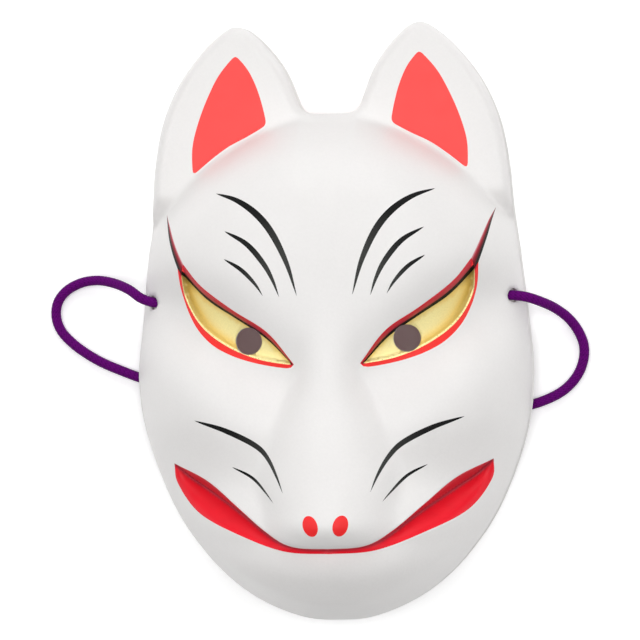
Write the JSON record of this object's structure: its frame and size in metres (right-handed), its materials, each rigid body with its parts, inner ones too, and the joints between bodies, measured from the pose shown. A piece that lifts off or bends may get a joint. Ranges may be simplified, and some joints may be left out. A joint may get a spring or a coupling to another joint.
{
  "type": "fox mask",
  "caption": "Moulded plastic fox face mask, white with painted eyes, ears and mouth, lying face up with its elastic cord.",
  "frame": {"origin": "middle of the mask's outline on the surface that its rim lies on", "axes": "+Z out of the face, +Y towards the ears, +X to the right of a person who looks at the face"},
  "size_m": [0.2267, 0.25, 0.0756],
  "materials": {
    "shell_plastic": "white moulded plastic with a soft gloss, painted red, gold and black",
    "cord_elastic": "braided round elastic, purple"
  },
  "bodies": {
    "root": {"mask_shell": "shell_plastic", "elastic_cord": "cord_elastic", "cord_knot_left": "cord_elastic", "cord_knot_right": "cord_elastic"}
  },
  "joints": []
}
